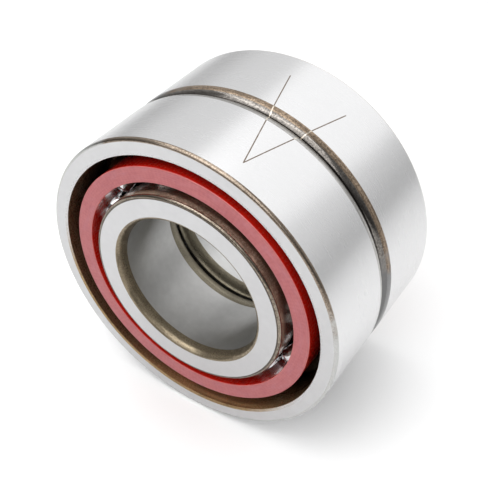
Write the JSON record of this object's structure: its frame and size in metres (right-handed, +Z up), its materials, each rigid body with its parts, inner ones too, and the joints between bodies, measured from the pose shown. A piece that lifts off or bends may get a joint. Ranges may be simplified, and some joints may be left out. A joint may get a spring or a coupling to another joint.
{
  "type": "angular contact bearing",
  "caption": "Matched pair of single-row angular contact ball bearings, back to back, with ground steel rings, polished balls and red fabric-laminate machined cages",
  "frame": {"origin": "on the bearing axis, in the plane where the two outer rings' back faces meet", "axes": "+Y along the axis, from the front bearing to the rear one; +Z up, with the pair lying on its outside diameter; +X to the right when the front face is looked at"},
  "size_m": [0.052, 0.0306, 0.052],
  "materials": {
    "ring_steel": "ground satin",
    "cage_laminate": "machined fabric laminate, faintly glossy",
    "ball_steel": "polished"
  },
  "bodies": {
    "front_outer_ring": {"front_outer_ring": "ring_steel"},
    "front_inner_ring": {"front_inner_ring": "ring_steel"},
    "front_cage": {"front_cage": "cage_laminate"},
    "front_ball_01": {"front_ball_01": "ball_steel"},
    "front_ball_02": {"front_ball_02": "ball_steel"},
    "front_ball_03": {"front_ball_03": "ball_steel"},
    "front_ball_04": {"front_ball_04": "ball_steel"},
    "front_ball_05": {"front_ball_05": "ball_steel"},
    "front_ball_06": {"front_ball_06": "ball_steel"},
    "front_ball_07": {"front_ball_07": "ball_steel"},
    "front_ball_08": {"front_ball_08": "ball_steel"},
    "front_ball_09": {"front_ball_09": "ball_steel"},
    "front_ball_10": {"front_ball_10": "ball_steel"},
    "front_ball_11": {"front_ball_11": "ball_steel"},
    "front_ball_12": {"front_ball_12": "ball_steel"},
    "front_ball_13": {"front_ball_13": "ball_steel"},
    "rear_outer_ring": {"rear_outer_ring": "ring_steel"},
    "rear_inner_ring": {"rear_inner_ring": "ring_steel"},
    "rear_cage": {"rear_cage": "cage_laminate"},
    "rear_ball_01": {"rear_ball_01": "ball_steel"},
    "rear_ball_02": {"rear_ball_02": "ball_steel"},
    "rear_ball_03": {"rear_ball_03": "ball_steel"},
    "rear_ball_04": {"rear_ball_04": "ball_steel"},
    "rear_ball_05": {"rear_ball_05": "ball_steel"},
    "rear_ball_06": {"rear_ball_06": "ball_steel"},
    "rear_ball_07": {"rear_ball_07": "ball_steel"},
    "rear_ball_08": {"rear_ball_08": "ball_steel"},
    "rear_ball_09": {"rear_ball_09": "ball_steel"},
    "rear_ball_10": {"rear_ball_10": "ball_steel"},
    "rear_ball_11": {"rear_ball_11": "ball_steel"},
    "rear_ball_12": {"rear_ball_12": "ball_steel"},
    "rear_ball_13": {"rear_ball_13": "ball_steel"}
  },
  "joints": [
    {"name": "pair_separation", "type": "slide", "parent": "front_outer_ring", "child": "rear_outer_ring", "axis": [0, 1, 0], "range_m": [0, 0.03]},
    {"name": "front_inner_spin", "type": "hinge", "parent": "front_outer_ring", "child": "front_inner_ring", "pos_m": [0, 0, 0], "axis": [0, 1, 0], "continuous": true},
    {"name": "front_cage_spin", "type": "hinge", "parent": "front_outer_ring", "child": "front_cage", "pos_m": [0, 0, 0], "axis": [0, 1, 0], "continuous": true},
    {"name": "front_ball_01_spin", "type": "hinge", "parent": "front_cage", "child": "front_ball_01", "pos_m": [-0.01453, -0.00764, 0.01263], "axis": [0.319, 0.9063, -0.2773], "continuous": true},
    {"name": "front_ball_02_spin", "type": "hinge", "parent": "front_cage", "child": "front_ball_02", "pos_m": [-0.007, -0.00764, 0.01793], "axis": [0.1536, 0.9063, -0.3937], "continuous": true},
    {"name": "front_ball_03_spin", "type": "hinge", "parent": "front_cage", "child": "front_ball_03", "pos_m": [0.00214, -0.00764, 0.01913], "axis": [-0.047, 0.9063, -0.42], "continuous": true},
    {"name": "front_ball_04_spin", "type": "hinge", "parent": "front_cage", "child": "front_ball_04", "pos_m": [0.01079, -0.00764, 0.01595], "axis": [-0.2368, 0.9063, -0.35], "continuous": true},
    {"name": "front_ball_05_spin", "type": "hinge", "parent": "front_cage", "child": "front_ball_05", "pos_m": [0.01696, -0.00764, 0.00911], "axis": [-0.3723, 0.9063, -0.1999], "continuous": true},
    {"name": "front_ball_06_spin", "type": "hinge", "parent": "front_cage", "child": "front_ball_06", "pos_m": [0.01925, -0.00764, 0.00018], "axis": [-0.4226, 0.9063, -0.004], "continuous": true},
    {"name": "front_ball_07_spin", "type": "hinge", "parent": "front_cage", "child": "front_ball_07", "pos_m": [0.01713, -0.00764, -0.00879], "axis": [-0.376, 0.9063, 0.1929], "continuous": true},
    {"name": "front_ball_08_spin", "type": "hinge", "parent": "front_cage", "child": "front_ball_08", "pos_m": [0.01108, -0.00764, -0.01574], "axis": [-0.2433, 0.9063, 0.3455], "continuous": true},
    {"name": "front_ball_09_spin", "type": "hinge", "parent": "front_cage", "child": "front_ball_09", "pos_m": [0.0025, -0.00764, -0.01909], "axis": [-0.0549, 0.9063, 0.419], "continuous": true},
    {"name": "front_ball_10_spin", "type": "hinge", "parent": "front_cage", "child": "front_ball_10", "pos_m": [-0.00666, -0.00764, -0.01806], "axis": [0.1461, 0.9063, 0.3965], "continuous": true},
    {"name": "front_ball_11_spin", "type": "hinge", "parent": "front_cage", "child": "front_ball_11", "pos_m": [-0.01429, -0.00764, -0.0129], "axis": [0.3137, 0.9063, 0.2832], "continuous": true},
    {"name": "front_ball_12_spin", "type": "hinge", "parent": "front_cage", "child": "front_ball_12", "pos_m": [-0.01865, -0.00764, -0.00478], "axis": [0.4094, 0.9063, 0.105], "continuous": true},
    {"name": "front_ball_13_spin", "type": "hinge", "parent": "front_cage", "child": "front_ball_13", "pos_m": [-0.01873, -0.00764, 0.00443], "axis": [0.4113, 0.9063, -0.0973], "continuous": true},
    {"name": "rear_inner_spin", "type": "hinge", "parent": "rear_outer_ring", "child": "rear_inner_ring", "pos_m": [0, 0, 0], "axis": [0, 1, 0], "continuous": true},
    {"name": "rear_cage_spin", "type": "hinge", "parent": "rear_outer_ring", "child": "rear_cage", "pos_m": [0, 0, 0], "axis": [0, 1, 0], "continuous": true},
    {"name": "rear_ball_01_spin", "type": "hinge", "parent": "rear_cage", "child": "rear_ball_01", "pos_m": [-0.01453, 0.00764, 0.01263], "axis": [-0.319, 0.9063, 0.2773], "continuous": true},
    {"name": "rear_ball_02_spin", "type": "hinge", "parent": "rear_cage", "child": "rear_ball_02", "pos_m": [-0.007, 0.00764, 0.01793], "axis": [-0.1536, 0.9063, 0.3937], "continuous": true},
    {"name": "rear_ball_03_spin", "type": "hinge", "parent": "rear_cage", "child": "rear_ball_03", "pos_m": [0.00214, 0.00764, 0.01913], "axis": [0.047, 0.9063, 0.42], "continuous": true},
    {"name": "rear_ball_04_spin", "type": "hinge", "parent": "rear_cage", "child": "rear_ball_04", "pos_m": [0.01079, 0.00764, 0.01595], "axis": [0.2368, 0.9063, 0.35], "continuous": true},
    {"name": "rear_ball_05_spin", "type": "hinge", "parent": "rear_cage", "child": "rear_ball_05", "pos_m": [0.01696, 0.00764, 0.00911], "axis": [0.3723, 0.9063, 0.1999], "continuous": true},
    {"name": "rear_ball_06_spin", "type": "hinge", "parent": "rear_cage", "child": "rear_ball_06", "pos_m": [0.01925, 0.00764, 0.00018], "axis": [0.4226, 0.9063, 0.004], "continuous": true},
    {"name": "rear_ball_07_spin", "type": "hinge", "parent": "rear_cage", "child": "rear_ball_07", "pos_m": [0.01713, 0.00764, -0.00879], "axis": [0.376, 0.9063, -0.1929], "continuous": true},
    {"name": "rear_ball_08_spin", "type": "hinge", "parent": "rear_cage", "child": "rear_ball_08", "pos_m": [0.01108, 0.00764, -0.01574], "axis": [0.2433, 0.9063, -0.3455], "continuous": true},
    {"name": "rear_ball_09_spin", "type": "hinge", "parent": "rear_cage", "child": "rear_ball_09", "pos_m": [0.0025, 0.00764, -0.01909], "axis": [0.0549, 0.9063, -0.419], "continuous": true},
    {"name": "rear_ball_10_spin", "type": "hinge", "parent": "rear_cage", "child": "rear_ball_10", "pos_m": [-0.00666, 0.00764, -0.01806], "axis": [-0.1461, 0.9063, -0.3965], "continuous": true},
    {"name": "rear_ball_11_spin", "type": "hinge", "parent": "rear_cage", "child": "rear_ball_11", "pos_m": [-0.01429, 0.00764, -0.0129], "axis": [-0.3137, 0.9063, -0.2832], "continuous": true},
    {"name": "rear_ball_12_spin", "type": "hinge", "parent": "rear_cage", "child": "rear_ball_12", "pos_m": [-0.01865, 0.00764, -0.00478], "axis": [-0.4094, 0.9063, -0.105], "continuous": true},
    {"name": "rear_ball_13_spin", "type": "hinge", "parent": "rear_cage", "child": "rear_ball_13", "pos_m": [-0.01873, 0.00764, 0.00443], "axis": [-0.4113, 0.9063, 0.0973], "continuous": true}
  ],
  "couplings": [
    {"joint": "front_cage_spin", "follows": "front_inner_spin", "ratio": 0.40657},
    {"joint": "front_ball_01_spin", "follows": "front_inner_spin", "ratio": -2.3404},
    {"joint": "front_ball_02_spin", "follows": "front_inner_spin", "ratio": -2.3404},
    {"joint": "front_ball_03_spin", "follows": "front_inner_spin", "ratio": -2.3404},
    {"joint": "front_ball_04_spin", "follows": "front_inner_spin", "ratio": -2.3404},
    {"joint": "front_ball_05_spin", "follows": "front_inner_spin", "ratio": -2.3404},
    {"joint": "front_ball_06_spin", "follows": "front_inner_spin", "ratio": -2.3404},
    {"joint": "front_ball_07_spin", "follows": "front_inner_spin", "ratio": -2.3404},
    {"joint": "front_ball_08_spin", "follows": "front_inner_spin", "ratio": -2.3404},
    {"joint": "front_ball_09_spin", "follows": "front_inner_spin", "ratio": -2.3404},
    {"joint": "front_ball_10_spin", "follows": "front_inner_spin", "ratio": -2.3404},
    {"joint": "front_ball_11_spin", "follows": "front_inner_spin", "ratio": -2.3404},
    {"joint": "front_ball_12_spin", "follows": "front_inner_spin", "ratio": -2.3404},
    {"joint": "front_ball_13_spin", "follows": "front_inner_spin", "ratio": -2.3404},
    {"joint": "rear_cage_spin", "follows": "rear_inner_spin", "ratio": 0.40657},
    {"joint": "rear_ball_01_spin", "follows": "rear_inner_spin", "ratio": -2.3404},
    {"joint": "rear_ball_02_spin", "follows": "rear_inner_spin", "ratio": -2.3404},
    {"joint": "rear_ball_03_spin", "follows": "rear_inner_spin", "ratio": -2.3404},
    {"joint": "rear_ball_04_spin", "follows": "rear_inner_spin", "ratio": -2.3404},
    {"joint": "rear_ball_05_spin", "follows": "rear_inner_spin", "ratio": -2.3404},
    {"joint": "rear_ball_06_spin", "follows": "rear_inner_spin", "ratio": -2.3404},
    {"joint": "rear_ball_07_spin", "follows": "rear_inner_spin", "ratio": -2.3404},
    {"joint": "rear_ball_08_spin", "follows": "rear_inner_spin", "ratio": -2.3404},
    {"joint": "rear_ball_09_spin", "follows": "rear_inner_spin", "ratio": -2.3404},
    {"joint": "rear_ball_10_spin", "follows": "rear_inner_spin", "ratio": -2.3404},
    {"joint": "rear_ball_11_spin", "follows": "rear_inner_spin", "ratio": -2.3404},
    {"joint": "rear_ball_12_spin", "follows": "rear_inner_spin", "ratio": -2.3404},
    {"joint": "rear_ball_13_spin", "follows": "rear_inner_spin", "ratio": -2.3404}
  ]
}
